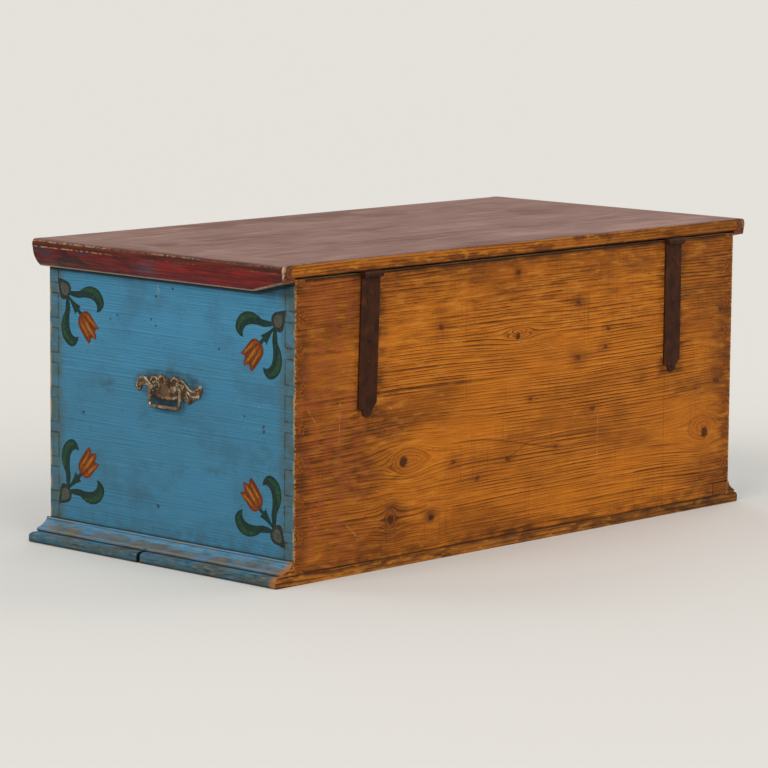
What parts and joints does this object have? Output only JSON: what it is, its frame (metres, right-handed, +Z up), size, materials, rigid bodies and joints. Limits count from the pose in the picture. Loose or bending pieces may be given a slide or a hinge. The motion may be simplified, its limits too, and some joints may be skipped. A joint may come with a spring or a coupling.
{
  "type": "dowry trunk",
  "caption": "Dovetailed pine trunk with a strap-hinged lid, moulded plinth, bail handles on the ends, a box lock and an open till, for storing linen.",
  "frame": {"origin": "middle of the case on the floor, on the underside of the bottom boards", "axes": "+X along the trunk, +Y from the front to the hinged back, +Z up"},
  "size_m": [1.215, 0.6105, 0.525],
  "materials": {
    "stained_pine": "satin",
    "bare_pine": "matte",
    "blue_paint": "satin paint",
    "plinth_paint": "worn paint",
    "red_paint": "worn paint",
    "lid_top": "satin",
    "wrought_iron": "aged",
    "handle_brass": "aged"
  },
  "bodies": {
    "chest": {"back_panel": "stained_pine", "bottom_board_back": "plinth_paint", "bottom_board_front": "plinth_paint", "bottom_nails": "wrought_iron", "end_panel_left": "blue_paint", "end_panel_right": "blue_paint", "escutcheon": "handle_brass", "escutcheon_pins": "handle_brass", "front_panel": "blue_paint", "handle_nails": "handle_brass", "handle_plate_left": "handle_brass", "handle_plate_right": "handle_brass", "handle_posts_left": "handle_brass", "handle_posts_right": "handle_brass", "handle_roves": "wrought_iron", "hinge_pin_left": "wrought_iron", "hinge_pin_right": "wrought_iron", "hinge_strap_left": "wrought_iron", "hinge_strap_right": "wrought_iron", "lock_case": "wrought_iron", "lock_screws": "wrought_iron", "plinth_moulding_front": "plinth_paint", "plinth_moulding_left": "plinth_paint", "plinth_moulding_right": "plinth_paint", "strap_nails": "wrought_iron", "till_bottom": "bare_pine", "till_side": "bare_pine"},
    "lid": {"hinge_leaf_left": "wrought_iron", "hinge_leaf_right": "wrought_iron", "leaf_nails": "wrought_iron", "lid_board_back": "lid_top", "lid_board_front": "lid_top", "lid_clamp_left": "lid_top", "lid_clamp_right": "lid_top", "lid_moulding_front": "red_paint", "lid_moulding_left": "red_paint", "lid_moulding_right": "red_paint", "lock_staple": "wrought_iron"},
    "bail_right": {"handle_bail_right": "handle_brass"},
    "bail_left": {"handle_bail_left": "handle_brass"},
    "bolt": {"lock_bolt": "wrought_iron"}
  },
  "joints": [
    {"name": "lid_hinge", "type": "hinge", "parent": "chest", "child": "lid", "pos_m": [0, 0.3009, 0.4975], "axis": [-1, 0, 0], "range_deg": [0, 110]},
    {"name": "bail_right_swing", "type": "hinge", "parent": "chest", "child": "bail_right", "pos_m": [0.579, 0, 0.297], "axis": [0, -1, 0], "range_deg": [-6, 180]},
    {"name": "bail_left_swing", "type": "hinge", "parent": "chest", "child": "bail_left", "pos_m": [-0.579, 0, 0.297], "axis": [0, 1, 0], "range_deg": [-6, 180]},
    {"name": "bolt_slide", "type": "slide", "parent": "chest", "child": "bolt", "axis": [1, 0, 0], "range_m": [0, 0.0155]}
  ]
}
